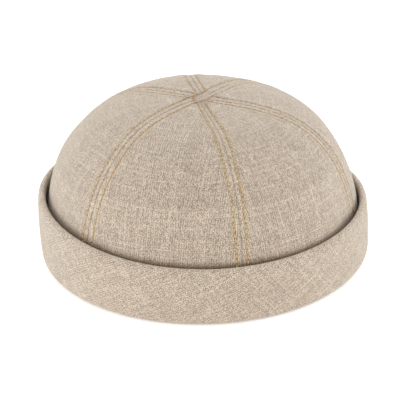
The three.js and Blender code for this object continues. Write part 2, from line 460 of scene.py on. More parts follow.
def panel_lift(index, points, from_left, width, from_apex):
    """How far the cloth stands out from the dome: both seams' relief, the swell and soft dents.

    The relief dies away towards the apex, where the panels are narrow.
    """
    relief, groove = 0, 0
    for seam_index, side, distance in seams_beside(index, from_left, width):
        relief = relief + seam_relief(seam_index, side, distance, from_apex)
        groove = groove + seam_groove(seam_index, np.clip(distance, 0, None), from_apex)
    swell = sizes().fullness * np.sin(math.pi * np.clip(from_left / width, 0, 1))
    groove = groove * smooth_step(*GROWS["groove"], width)
    return groove + smooth_step(*GROWS["relief"], width) * (relief + swell) + soft_form(points)


# Half the width over which the cloth thins at the allowance's cut edge.
CUT_HALF = 0.25 * MM


def wall_at(edge):
    """Thickness of the cloth by distance from the seam: greater over the allowance."""
    s = sizes()
    cut = sewing().allowance
    thin = smooth_step(cut - CUT_HALF, cut + CUT_HALF, edge)
    return s.seam_wall + (s.field_wall - s.seam_wall) * thin


def panel_marks(index, from_left, width, from_apex):
    """What the material shades by: the nearness of a stitch row, which places painted shade in the
    needle holes, and of a seam, and the welt, which gets painted light.

    Nearness is a bell on the row, a wider one for its haze and one on the seam, which counts
    double close to the top. The welt runs from the seam to the row by smooth steps. All of
    them die away at the panel's narrow tip.
    """
    marks = {"row_near": 0, "row_haze": 0, "seam_near": 0, "on_welt": 0}
    fade = smooth_step(*GROWS["marks"], width)
    line_fade = smooth_step(*GROWS["line"], width) * (2 - smooth_step(*MARKS["line"], from_apex))
    for seam_index, side, distance in seams_beside(index, from_left, width):
        row = row_distance(seam_index, side, from_apex)
        strength = fade * (1 - WORN_SHARE * SEAMS[seam_index]["faded"][1 - side])
        marks["row_near"] += strength * bump_at(distance, row, MARKS["row"])
        marks["row_haze"] += strength * bump_at(distance, row, MARKS["haze"])
        marks["seam_near"] += line_fade * bump_at(distance, 0, MARKS["seam"])
        past = smooth_step(row - MARKS["row_gap"], row, distance)
        marks["on_welt"] += fade * smooth_step(*MARKS["welt"], distance) * (1 - past)
    return marks


def panel_surfaces(index, rows=190, zone_steps=28, field_steps=56):
    """Outer and inner points of a panel and its weave coordinates, on one grid.

    A row is a level of the dome, a column a distance from the left seam. The outer surface is
    the dome plus the panel's lift along its normal. The inner one lies a wall below it. The
    weave's coordinates are the distance from the panel's middle line and the length along it.
    """
    u = dome_rows(rows)
    panel = panel_frame(index, u)
    width = panel["width"][:, None]
    from_left = panel_distances(panel["width"], zone_steps, field_steps)
    angle = panel["start"][:, None] + from_left / panel["speed"][:, None]
    points = dome_point(angle, u[:, None])
    normal = dome_normal(points)
    from_apex = panel["from_apex"][:, None] + 0 * from_left
    lift = panel_lift(index, points, from_left, width, from_apex)
    wall = wall_at(np.minimum(from_left, width - from_left))
    outer = points + normal * lift[..., None]
    inner = points + normal * (lift - wall)[..., None]
    weave = np.stack([from_left - width / 2, -from_apex], -1)
    marks = panel_marks(index, from_left, width, from_apex)
    # How much painted shade the crown's cloth gets behind the rim.
    marks["painted_rim_shade"] = painted_rim_shade(outer)
    return outer, inner, weave, marks


def soft_form(points):
    """The soft cloth's form: slow waves in space, less a bell for each dent."""
    rng = random_start(FORM_START)
    lift = 0
    for wave in SOFT_WAVES:
        lift = lift + wave["height"] * drift(points, wave["length"], wave["count"], rng)
    for dent in DENTS:
        away = np.linalg.norm(points - dent["place"], axis=-1)
        lift = lift - dent["depth"] * bump_at(away, 0, dent["reach"])
    return lift


def grid_index(rows, columns, offset=0):
    """Corner numbers of a grid of points."""
    return offset + np.arange(rows * columns).reshape(rows, columns)


def quads_between(index, flip=False):
    """Quads of a grid of corner numbers, with flip for a surface that looks the other way."""
    a, b = index[:-1, :-1], index[:-1, 1:]
    c, d = index[1:, 1:], index[1:, :-1]
    corners = (a, d, c, b) if flip else (a, b, c, d)
    return np.stack(corners, -1).reshape(-1, 4)


def in_scene(data):
    """An object of the data's name, with the data, in the scene."""
    made = bpy.data.objects.new(data.name, data)
    bpy.context.scene.collection.objects.link(made)
    return made


def new_piece(name, points, faces, weave, weave_faces, material, marks=None):
    """A mesh object that rides on the cap's body.

    faces is a list of arrays of corner numbers, three or four to a face. weave_faces has the
    same shapes and numbers the weave coordinates, in metres, so that cloth can meet itself.
    marks gives names to values for each point, which the material reads.
    """
    mesh = bpy.data.meshes.new(name)
    mesh.from_pydata(points.reshape(-1, 3).tolist(), [], sum((f.tolist() for f in faces), []))
    corners = np.concatenate([f.ravel() for f in weave_faces])
    layer = mesh.uv_layers.new(name="weave")
    layer.data.foreach_set("uv", weave.reshape(-1, 2)[corners].astype(np.float32).ravel())
    mesh.polygons.foreach_set("use_smooth", np.ones(len(mesh.polygons), bool))
    for mark, values in (marks or {}).items():
        attribute = mesh.attributes.new(mark, "FLOAT", "POINT")
        attribute.data.foreach_set("value", values.astype(np.float32).ravel())
    mesh.materials.append(material)
    mesh.update()
    piece = in_scene(mesh)
    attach(piece, BODY)
    return piece


def painted_rim_shade(points):
    """Painted shade behind the rim: 0 above the rim's height over a point's place round the cap,
    1 below it, by a smooth step.
    """
    s = sizes()
    x, y, z = np.moveaxis(points, -1, 0)
    angle = np.arctan2(x / s.half_width, -y / s.half_length)
    return 1 - smooth_step(*MARKS["fold"], z - rim_height(angle))


def panel_piece(index, material):
    """One crown panel: outer and inner grid, closed by strips along its four edges."""
    outer, inner, weave, marks = panel_surfaces(index)
    rows, columns = outer.shape[:2]
    top = grid_index(rows, columns)
    under = grid_index(rows, columns, rows * columns)
    faces = [np.concatenate([
        quads_between(top),
        quads_between(under, flip=True),
        quads_between(np.stack([under[0], top[0]])),
        quads_between(np.stack([top[-1], under[-1]])),
        quads_between(np.stack([top[:, 0], under[:, 0]])),
        quads_between(np.stack([under[:, -1], top[:, -1]])),
    ])]
    points = np.stack([outer, inner])
    coordinates = np.stack([weave, weave])
    name = f"crown_panel_cloth_{index + 1}"
    marks = {mark: np.stack([values, values]) for mark, values in marks.items()}
    piece = new_piece(name, points, faces, coordinates, faces, material, marks)
    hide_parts(f"crown_panel_{index + 1}")
    return piece


def rim_height(angle):
    """Height of the rim round the cap: the mean plus its waves."""
    total = sizes().cuff_height + np.zeros_like(angle)
    for wave in RIM_WAVES:
        total = total + wave["sine"] * np.sin(wave["turns"] * angle)
        total = total + wave["cosine"] * np.cos(wave["turns"] * angle)
    return total


def arc(centre_out, centre_up, radius_out, radius_up, start, end, steps):
    """Points on an elliptic arc of a section, as (out, up) pairs, start and end in degrees."""
    turn = np.radians(np.linspace(start, end, steps + 1))
    out, up = centre_out + radius_out * np.cos(turn), centre_up + radius_up * np.sin(turn)
    return np.stack([out, up], -1)


def line(start, end, steps):
    """Even points on a straight stretch of a section, without its last one."""
    return np.linspace(start, end, steps + 1)[:-1]


# The cuff's section, as stand-off from the crown's foot and height. The bottom fold leans out.
CUFF = in_mm(fold=4.4, bulge=0.6, draw_in=0.4, wall=3.0, roll=1.5, drop=8.0, floor=1.8)
TURN_IN = in_mm(outer=-2.5, inner=-3.9, top=12.0, foot=1.0)
BOTTOM_LEAN = 5.0

# The band's outside, which starts an edge inside its stand-off, swells in waves round the cap,
# wholly above a start, and dips at its join at the back.
SWELL = in_mm(height=0.22, start=9, edge=1.0)
SWELL_TURNS = np.array([5, 9, 14, 23])
JOIN = in_mm(depth=0.5, width=0.5)


def outer_side(up, top):
    """Stand-off of the cuff's outer side at a share t of its height to the roll.

    The side swells by the bulge times 4t(1 - t) and is drawn in below by (1 - t) squared.
    """
    share = up / top
    bulge = CUFF["bulge"] * 4 * share * (1 - share)
    return WALL_STANDOFF + bulge - CUFF["draw_in"] * (1 - share) ** 2


def cuff_section(rim):
    """The cuff's closed section for one rim height, from the bottom fold outwards and up."""
    s = sizes()
    fold, inner, outer, foot = CUFF["fold"], TURN_IN["inner"], TURN_IN["outer"], TURN_IN["foot"]
    roll_out, roll_up = s.rim_standoff - s.rim_radius, rim - s.rim_radius
    inside = WALL_STANDOFF - CUFF["wall"]
    turn_half = (outer - inner) / 2
    turn_up = TURN_IN["top"] - turn_half
    lean = math.radians(BOTTOM_LEAN)
    side_foot = fold * (1 - math.sin(lean))
    fold_out = outer_side(side_foot, roll_up) - fold * math.cos(lean)
    bottom = arc(fold_out, fold, fold, fold, -90, -BOTTOM_LEAN, 12)
    roll = arc(roll_out, roll_up, s.rim_radius, s.rim_radius, 0, 90, 12)
    side = line((0, side_foot), roll[0], 40)
    side[:, 0] = outer_side(side[:, 1], roll_up)
    roll_in = arc(roll_out, roll_up, CUFF["roll"], s.rim_radius, 90, 200, 12)[1:]
    channel = (roll_in[-1], (inside, rim - CUFF["drop"]), (inside, CUFF["floor"]),
               (outer, CUFF["floor"]), (outer, turn_up))
    return np.concatenate([
        bottom[:-1],
        side,
        roll,
        roll_in[:-1],
        *(line(*stretch) for stretch in zip(channel, channel[1:], (5, 6, 3, 5))),
        arc((outer + inner) / 2, turn_up, turn_half, turn_half, 0, 180, 6)[:-1],
        line((inner, turn_up), (inner, foot), 5),
        arc(inner + foot, foot, foot, foot, 180, 270, 4),
        line((inner + foot, 0), bottom[0], 3)[1:],
        bottom[:1],
    ])


def cuff_piece(material, steps=760):
    """The cuff: its section carried once round the oval and closed on itself at the back.

    The weave runs at the grain angle to the band, from lengths round the oval and along
    the section, so it breaks at the band's join at the back as cut cloth does.
    """
    s = sizes()
    f = finish()
    rng = random_start(CUFF_START)
    angle = np.linspace(-math.pi, math.pi, steps + 1)
    rims = rim_height(angle)
    low, high = rims.min(), rims.max()
    short, tall = cuff_section(low), cuff_section(high)
    section = short + (tall - short) * ((rims - low) / (high - low))[:, None, None]
    out, up = section[..., 0], section[..., 1]
    length = np.concatenate([[0], np.cumsum(np.linalg.norm(np.diff(tall, axis=0), axis=1))])
    middle = (angle[1:] + angle[:-1]) / 2
    girth = np.concatenate([[0], np.cumsum(oval_speed(middle) * np.diff(angle))])

    outside = smooth_step(WALL_STANDOFF - CUFF["wall"], WALL_STANDOFF - SWELL["edge"], out)
    free = outside * smooth_step(CUFF["fold"], SWELL["start"], up)
    waves = wander(girth, girth[-1] / SWELL_TURNS, rng)[:, None]
    join = bump_at(np.minimum(girth, girth[-1] - girth), 0, JOIN["width"])[:, None]
    out = out + SWELL["height"] * waves * free - JOIN["depth"] * join * outside
    x = (s.half_width + out) * np.sin(angle)[:, None]
    y = -(s.half_length + out) * np.cos(angle)[:, None]
    points = np.stack([x, y, up], -1)

    turn = f.cuff_grain
    run, rise = girth[:, None] + 0 * up, length[None, :] + 0 * up
    weave = np.stack([
        run * math.cos(turn) + rise * math.sin(turn),
        rise * math.cos(turn) - run * math.sin(turn),
    ], -1)
    rows, columns = up.shape
    open_grid = grid_index(rows, columns)
    row, column = np.divmod(open_grid, columns)
    closed = (row % (rows - 1)) * (columns - 1) + column % (columns - 1)
    faces = [quads_between(closed, flip=True)]
    weave_faces = [quads_between(open_grid, flip=True)]
    piece = new_piece("cuff_cloth", points[:-1, :-1], faces, weave, weave_faces, material)
    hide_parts("cuff")
    return piece


# Shares of the oval between which rows go from a place in plan to one on the panel, and the lift
# of the rows near the apex, which ends between two lengths from it.
PLAN_SHARES = (0.3, 0.6)
TOP_LIFT = in_mm(height=0.65, ends=(4, 14))


def stitch_place(seam_index, side, from_apex, inside=False):
    """Points and outward directions of the row of stitches on one side of a seam.

    Near the top the row is placed in plan: with the oval made a unit circle, a step sideways
    of e from radius c turns by atan(e / c) and lies at hypot(c, e), so a row can pass beside
    the seams' meeting point. Close to the apex it is also lifted clear of the cloth.
    """
    index = panel_beside(seam_index, side)
    offset = row_distance(seam_index, 0 if side > 0 else 1, from_apex)
    u_rows = dome_rows(FINE_ROWS)
    panel = panel_frame(index, u_rows)
    u = np.interp(from_apex, panel["from_apex"][::-1], u_rows[::-1])
    seam = seam_pair(index)[0 if side > 0 else 1]
    angle = seam_angle(seam, u)
    radius, _ = dome_profile(u)
    step = side * offset / oval_speed(angle)
    turned = angle + np.arctan2(step, radius)
    near = 1 - smooth_step(*PLAN_SHARES, radius)
    radius = radius + near * (np.hypot(radius, step) - radius)
    u = np.arccos(np.clip(radius, 0, 1) ** (sizes().round_out / 2))
    points = dome_point(turned, u)
    normal = dome_normal(points)
    width = np.interp(u, u_rows, panel["width"])
    from_left = offset if side > 0 else width - offset
    lift = panel_lift(index, points, from_left, width, from_apex)
    lift = lift + TOP_LIFT["height"] * (1 - smooth_step(*TOP_LIFT["ends"], from_apex))
    if inside:
        return points + normal * (lift - sizes().seam_wall)[:, None], -normal
    return points + normal * lift[:, None], normal


# A stitch: rings along it and corners round it, and in thread radii how proud its middle stands,
# how far its ends dip, how much thinner they are and how far its tips reach.
RINGS = 7
SIDES = 6
STITCH = {"proud": 0.66, "dip": 1.25, "thinner": 0.40, "tip": 0.5}

# A stitch lies askew, with a spread, and its size has a spread too.
SKEW = in_mm(mean=0.10, spread=0.03)
SIZE_SPREAD = 0.05


def repeated(corners, count, size):
    """The faces of one stitch, of corner numbers, repeated for count stitches of size corners."""
    start = np.arange(count)[:, None, None] * size
    return (corners + start).reshape(-1, corners.shape[-1])


def end_caps(index, first, last):
    """Triangles at the first and the last ring of corner numbers, each with its third corners."""
    low, high = index[0], index[-1]
    return np.concatenate([
        np.stack([low[:-1], low[1:], first], -1),
        np.stack([high[1:], high[:-1], last], -1),
    ])


def thread_rows(paths, rng):
    """Stitches as one mesh: arrays of points, faces, weave coordinates and their faces.

    Each stitch is a short round body along its stretch of the path. Its middle stands proud of
    the cloth and its ends dip under it by the sixth power of the distance from the middle, and
    it gets thinner by the eighth.
    """
    w = sewing()
    ring = np.linspace(-1, 1, RINGS)
    turn = np.arange(SIDES) / SIDES * 2 * math.pi
    arch = w.thread * (STITCH["proud"] - STITCH["dip"] * ring ** 6)
    girth = w.thread * (1 - STITCH["thinner"] * ring ** 8)
    tip = STITCH["tip"] * w.thread * np.array([-1, 1])[:, None]
    around = np.concatenate([turn, [2 * math.pi]]) * w.thread
    blocks, weaves = [], []
    for centre, normal in paths:
        count = len(centre)
        run = unit(np.gradient(centre, axis=1))
        across = unit(np.cross(run, normal))
        skew = SKEW["mean"] * ring[None, :] + rng.normal(0, SKEW["spread"], (count, 1))
        size = 1 + rng.normal(0, SIZE_SPREAD, (count, 1))
        middle = centre + normal * (arch * size)[..., None] + across * skew[..., None]
        sideways = np.cos(turn)[:, None] * across[:, :, None]
        upwards = np.sin(turn)[:, None] * normal[:, :, None]
        body = middle[:, :, None] + (girth * size)[..., None, None] * (sideways + upwards)
        tips = middle[:, [0, -1]] + run[:, [0, -1]] * tip
        blocks.append(np.concatenate([body.reshape(count, -1, 3), tips], axis=1))
        along = (ring + 1) / 2 * w.pitch + np.zeros((count, 1))
        cover = np.stack(np.broadcast_arrays(around[None, None, :], along[:, :, None]), -1)
        weaves.append(cover.reshape(count, -1, 2))
    points = np.concatenate(blocks)
    weave = np.concatenate(weaves)
    index = grid_index(RINGS, SIDES)
    index = np.concatenate([index, index[:, :1]], axis=1)
    open_index = grid_index(RINGS, SIDES + 1)
    tip_number = np.full(SIDES, RINGS * SIDES)
    caps = end_caps(index, tip_number, tip_number + 1)
    cap_weave = end_caps(open_index, open_index[0, 1:], open_index[-1, :-1])
    count, size, weave_size = len(points), points.shape[1], weave.shape[1]
    faces = [repeated(part, count, size) for part in (quads_between(index, flip=True), caps)]
    open_faces = (quads_between(open_index, flip=True), cap_weave)
    weave_faces = [repeated(part, count, weave_size) for part in open_faces]
    return points, faces, weave, weave_faces


# A stitch runs between these shares of its pitch, and a row ends this far from the panel's foot.
STITCH_SHARES = (0.07, 0.93)
FOOT_CLEARANCE = 3 * MM


def stitched_seam(seam_index, material):
    """Both rows of topstitching of one seam, outside and inside, as one piece."""
    w = sewing()
    rng = random_start(seam_index, STITCH_START)
    seam = SEAMS[seam_index]
    paths, faded = [], []
    for side, start, pallor in zip((-1, 1), seam["starts"], seam["faded"]):
        panel = panel_frame(panel_beside(seam_index, side), dome_rows(FINE_ROWS))
        first = math.ceil(start * MM / w.pitch)
        last = int((panel["from_apex"][0] - FOOT_CLEARANCE) / w.pitch)
        holes = np.arange(first, last)[:, None]
        lengths = (holes + np.linspace(*STITCH_SHARES, RINGS)[None, :]) * w.pitch
        shape = (*lengths.shape, 3)
        for inside in (False, True):
            centre, normal = stitch_place(seam_index, side, lengths.ravel(), inside)
            paths.append((centre.reshape(shape), normal.reshape(shape)))
            faded.append(np.full(len(lengths), pallor))
    points, faces, weave, weave_faces = thread_rows(paths, rng)
    marks = {"faded": np.repeat(np.concatenate(faded), points.shape[1])}
    name = f"topstitch_{seam_index + 1}"
    piece = new_piece(name, points, faces, weave, weave_faces, material, marks)
    return piece


# The tack: its two ends in plan, its strands and the stitches of each, and the share of its
# length by which the strands are out of step.
TACK = in_mm(front=(-2.9, -10.2), back=(-0.4, 8.5), spacing=0.34, lift=0.30)
TACK_STRANDS = 3
TACK_STITCHES = 6
TACK_STAGGER = 0.03


def apex_tack(material):
    """A bar of three strands over the top, from the front seam's left row to the back seam's."""
    rng = random_start(TACK_START)
    stagger = rng.uniform(-TACK_STAGGER, TACK_STAGGER, (TACK_STRANDS, 1))
    share = np.linspace(0, 1, TACK_STITCHES * RINGS + 1)[None, :-1] + stagger
    x, y = (start + (end - start) * share for start, end in zip(TACK["front"], TACK["back"]))
    x = x + (np.arange(TACK_STRANDS)[:, None] - 1) * TACK["spacing"]
    points = np.stack([x, y, dome_height(x, y)], -1)
    normal = dome_normal(points)
    points = points + normal * (soft_form(points) + TACK["lift"])[..., None]
    shape = (TACK_STRANDS * TACK_STITCHES, RINGS, 3)
    built = thread_rows([(points.reshape(shape), normal.reshape(shape))], rng)
    piece = new_piece("apex_tack", *built, material)
    return piece


class Signal:
    """An output socket that takes part in formulas: each operation adds one math node."""

    def __init__(self, socket):
        self.socket = socket

    def node(self, kind, inputs, output=0, **settings):
        """Another node's output, in the same tree. Its inputs take signals or plain values."""
        tree = self.socket.id_data
        node = tree.nodes.new(kind)
        for name, value in settings.items():
            setattr(node, name, value)
        for at, value in inputs.items():
            put(value, node.inputs[at])
        return Signal(node.outputs[output])

    def clamped(self):
        """The same value, kept between 0 and 1 by its math node."""
        self.socket.node.use_clamp = True
        return self

    def __add__(self, other):
        return calc("ADD", self, other)

    def __sub__(self, other):
        return calc("SUBTRACT", self, other)

    def __rsub__(self, other):
        return calc("SUBTRACT", other, self)

    def __mul__(self, other):
        return calc("MULTIPLY", self, other)

    def __truediv__(self, other):
        return calc("DIVIDE", self, other)

    def __pow__(self, other):
        return calc("POWER", self, other)

    def __abs__(self):
        return calc("ABSOLUTE", self)


def put(value, socket):
    """Link a signal to an input socket, or set a number, vector or colour on it."""
    if isinstance(value, Signal):
        socket.id_data.links.new(value.socket, socket)
    else:
        socket.default_value = value


def calc(operation, *values):
    """A math node's result from signals and numbers."""
    signal = next(value for value in values if isinstance(value, Signal))
    return signal.node("ShaderNodeMath", dict(enumerate(values)), operation=operation)


def vector_calc(operation, signal, value, at=1, output="Vector"):
    """A vector math node's result from a signal and a value at one more of its inputs."""
    return signal.node("ShaderNodeVectorMath", {0: signal, at: value}, output, operation=operation)


def pair(x, y):
    """A vector from two signals."""
    return x.node("ShaderNodeCombineXYZ", {0: x, 1: y})


def axes(vector):
    """The first two parts of a vector."""
    return [vector.node("ShaderNodeSeparateXYZ", {0: vector}, axis) for axis in (0, 1)]


def noise_at(vector, scale, detail=2.0, roughness=0.5, dimensions="2D"):
    """Noise from 0 to 1 at a vector."""
    inputs = {"Vector": vector, "Scale": scale, "Detail": detail, "Roughness": roughness}
    return vector.node("ShaderNodeTexNoise", inputs, "Fac", noise_dimensions=dimensions)


def random_at(x, y):
    """A random number from 0 to 1 for each pair of values."""
    return x.node("ShaderNodeTexWhiteNoise", {"Vector": pair(x, y)}, "Value", noise_dimensions="2D")


def random_cell(x, y):
    """A random number from 0 to 1 for each pair of whole numbers."""
    return random_at(calc("FLOOR", x), calc("FLOOR", y))


def colour_ramp(factor, stops):
    """A colour from a factor, by (position, colour) stops."""
    result = factor.node("ShaderNodeValToRGB", {"Fac": factor}, "Color")
    elements = result.socket.node.color_ramp.elements
    while len(elements) < len(stops):
        elements.new(0.5)
    for element, (position, tone) in zip(elements, stops):
        element.position = position
        element.color = (*tone, 1)
    return result


# A mix node's two inputs and its result by number, for each type of data.
MIX_SOCKETS = {"FLOAT": (2, 3, 0), "RGBA": (6, 7, 2)}


def mixed(factor, first, second, data_type="RGBA"):
    """The first value where the factor is 0, turning to the second where it is 1."""
    at_first, at_second, result = MIX_SOCKETS[data_type]
    inputs = {0: factor, at_first: first, at_second: second}
    return factor.node("ShaderNodeMix", inputs, result, data_type=data_type)


def new_material(name, coordinates):
    """A material, its main shader and the coordinates of the named kind."""
    material = bpy.data.materials.new(name)
    material.use_nodes = True
    nodes = material.node_tree.nodes
    place = nodes.new("ShaderNodeTexCoord").outputs[coordinates]
    return material, nodes["Principled BSDF"], Signal(place)


def set_inputs(shader, values):
    """Give a shader's named inputs their signals and even values."""
    for name, value in values.items():
        put(value, shader.inputs[name])


def bumped(relief, strength, distance):
    """The direction of a surface with a relief."""
    inputs = {"Height": relief, "Strength": strength, "Distance": distance}
    return relief.node("ShaderNodeBump", inputs)


def mark_value(signal, mark):
    """The value that a piece's points carry under a name, and 0 on pieces without it."""
    return signal.node("ShaderNodeAttribute", {}, "Fac", attribute_name=mark)


def tinted(base, mark, tint):
    """A colour times a tint where a mark is 1."""
    stops = [(0.0, (1.0, 1.0, 1.0)), (1.0, tint)]
    return vector_calc("MULTIPLY", base, colour_ramp(mark_value(base, mark), stops))


# The two sets of yarns: a start for their numbers, a slub's length and swing, and by how much
# every other yarn differs. The spacings set neighbouring yarns apart in the noise.
WARP = {"seed": 11.0, "run": 10 * MM, "swing": 0.95, "turns": 0.34}
WEFT = {"seed": 47.0, "run": 12 * MM, "swing": 0.95, "turns": -0.07}
YARN_LEVEL = 0.2
SLUB_DETAIL = 2.5
SLUB_ROUGHNESS = 0.65
SLUB_SPACING = 5.37
PALE_SPACING = 3.71

# Long pale stretches of a few yarns: the noise that they start at, how sharply and how pale.
PALE = {"run": 10 * MM, "from": 0.46, "edge": 7.0, "lift": 0.62, "rarity": 4.0}


def yarn_tone(yarn_number, along, yarn):
    """A yarn's shade about 0: its own level, every other one darker by turns, and slubs along it.

    A few yarns, by the fourth power of their own random number, have long pale stretches too.
    """
    row = yarn_number + yarn["seed"]
    own = random_at(row, row * 0.5)
    level = (own - 0.5) * YARN_LEVEL
    place = pair(row * SLUB_SPACING, along * (1 / yarn["run"]))
    slubs = (noise_at(place, 1.0, SLUB_DETAIL, SLUB_ROUGHNESS) - 0.5) * yarn["swing"]
    other = (calc("PINGPONG", yarn_number, 1.0) - 0.5) * yarn["turns"]
    place = pair(row * PALE_SPACING, along * (1 / PALE["run"]))
    stretches = ((noise_at(place, 1.0, 0.0) - PALE["from"]) * PALE["edge"]).clamped()
    pale = own ** PALE["rarity"] * stretches * PALE["lift"]
    return level + slubs + (other + pale)


# How far yarns stray from straight lines, by noise and a far-off part of it for the other set.
STRAY = 1.6 * MM
STRAY_SCALE = 55.0
STRAY_ELSEWHERE = (3.1, 1.7, 0)

# How sharply the warp comes on top, its share where both meet, and how much it shows.
WARP_EDGE = 4.0
WARP_SHARE = 0.6
WARP_BELOW = 0.24
WARP_MORE = 0.56

# Fibre bundles: their number across a yarn, how much those beside one count, and their swing.
BUNDLES = 2.0
BUNDLE_BESIDE = 0.27
BUNDLE_SWING = 0.93
WARP_TONE = 0.12

# Cloudy patches, and where the dark, middle and pale yarn's tones lie.
CLOUD_SCALE = 110.0
CLOUD_SWING = 0.18
SHADE_STOPS = (0.02, 0.47, 0.92)

# Painted light on a yarn's edge and more on its top, and painted shade in the openings between
# yarns: the power makes those openings few.
EDGE_LIGHT = 0.74
TOP_LIGHT = 0.40
OPENING_SHADE_DEPTH = 5.5
OPENING_RARITY = 3.0
DARKEST = 0.1

# Painted shade in the needle holes, the seam's dark line and painted light on the raised welt.
HOLE_SHADE = 0.38
HOLE_SHARP = 1.5
LINE_DARK = 0.24
LINE_SCALE = 260.0
WELT_LIGHT = 0.07

# How much a yarn's tone and its bundles add to the relief.
TONE_RELIEF = 0.8
BUNDLE_RELIEF = 0.35
LINEN_BUMP = 0.7
LINEN_RELIEF = 0.14 * MM

# The cuff, cut on the bias, has its own copy of the linen, painted a touch lighter than the
# crown: painted light.
CROWN_LIGHTNESS = 1.035
CUFF_LIGHTNESS_PAINTED = 1.08


def linen_material(name, lightness):
    """Plain-woven linen from the piece's weave coordinates.

    Yarns are numbered by the coordinates over the yarn pitch. A yarn's height is the sine of
    its own coordinate; warp is on top where the product of both sines is positive and weft
    where it is negative. Each yarn has its own shade and slubs, each stretch on top has four
    fibre bundles of their own shade, and painted shade darkens small openings between the
    yarns. Painted light on a yarn goes by the square root of the product of both heights. The
    marks of the piece paint shade into the needle holes, darken the seam's line, paint light on
    the welt, tint the cloth beside the thread and paint shade on the crown's cloth behind the rim.
    """
    f = finish()
    material, shader, weave = new_material(name, "UV")
    u, v = axes(weave)
    elsewhere = vector_calc("ADD", weave, STRAY_ELSEWHERE)
    x = (u + (noise_at(weave, STRAY_SCALE) - 0.5) * STRAY) / f.yarn_pitch
    y = (v + (noise_at(elsewhere, STRAY_SCALE) - 0.5) * STRAY) / f.yarn_pitch
    sine_x, sine_y = calc("SINE", x * math.pi), calc("SINE", y * math.pi)
    high_x, high_y = abs(sine_x), abs(sine_y)
    warp_on_top = (sine_x * sine_y * WARP_EDGE + WARP_SHARE).clamped()
    warp = yarn_tone(calc("FLOOR", x), v, WARP)
    weft = yarn_tone(calc("FLOOR", y), u, WEFT)
    tone = mixed(warp_on_top * WARP_MORE + WARP_BELOW, weft, warp, "FLOAT")

    across, along = x * BUNDLES, y * BUNDLES
    beside = random_cell(across - BUNDLES, along) + random_cell(across + BUNDLES, along)
    bundle = random_cell(across, along) - beside * BUNDLE_BESIDE - (0.5 - BUNDLE_BESIDE)
    bundle = bundle * BUNDLE_SWING + (warp_on_top - WARP_SHARE) * WARP_TONE
    cloudy = (noise_at(weave, CLOUD_SCALE) - 0.5) * CLOUD_SWING
    shade = (tone + bundle + (cloudy + 0.5)).clamped()
    base = colour_ramp(shade, list(zip(SHADE_STOPS, (f.yarn_dark, f.yarn_mid, f.yarn_pale))))

    # Painted light on each yarn by its height, less painted shade in the openings between yarns.
    cell = (high_x * high_y) ** 0.5
    corner = random_cell(x + 0.5, y + 0.5)
    opening_shade = (1.0 - high_x) * (1.0 - high_y) * (corner ** OPENING_RARITY * OPENING_SHADE_DEPTH)
    light = cell * (TOP_LIGHT * lightness) + EDGE_LIGHT * lightness
    light = calc("MAXIMUM", light - opening_shade, DARKEST)
    # Painted shade at the needle holes beside a row and painted light on the welt, with the seam's
    # line.
    needle = calc("COSINE", v * (2 * math.pi / sewing().pitch)) * 0.5 + 0.5
    holes = mark_value(weave, "row_near") * (needle ** HOLE_SHARP * HOLE_SHADE)
    line_dark = mark_value(weave, "seam_near") * (noise_at(weave, LINE_SCALE, 1.0) * LINE_DARK)
    sewn_and_painted_light = 1.0 - (holes + line_dark) + mark_value(weave, "on_welt") * WELT_LIGHT
    base = vector_calc("SCALE", base, light * sewn_and_painted_light, "Scale")
    # Painted shade behind the rim, then the cloth's warm tint beside the thread.
    base = tinted(tinted(base, "painted_rim_shade", f.rim_shade_tint), "row_haze", f.haze)

    relief = cell * (tone * TONE_RELIEF + 1.0) + bundle * BUNDLE_RELIEF
    set_inputs(shader, {
        "Base Color": base,
        "Normal": bumped(relief, LINEN_BUMP, LINEN_RELIEF),
        "Roughness": 0.92,
        "Specular IOR Level": 0.25,
        "Sheen Weight": 0.42,
        "Sheen Tint": (*f.sheen, 1),
        "Sheen Roughness": 0.5,
    })
    return material


# The darker, redder thread round the seams' meeting point, and the patches that break it up.
TOP_REACH = 55 * MM
TOP_START = 0.85
TOP_STRENGTH = 0.75
TOP_PATCH_SCALE = 160.0
TOP_PATCH_SWING = 2.5

# Ochre turns to olive between these noise values.
OLIVE_SCALE = 70.0
OCHRE_STOP = 0.42
OLIVE_STOP = 0.58

# The plies, the painted light between and on them, and how much painted shade a stitch's ends
# get where they dip into the cloth.
PLY_LENGTH = 0.9 * MM
PLY_COUNT = 2.0
PLY_EDGE = 0.72
PLY_TOP = 0.35
END_SHADE = 0.6
THREAD_BUMP = 0.5
THREAD_RELIEF = 0.08 * MM


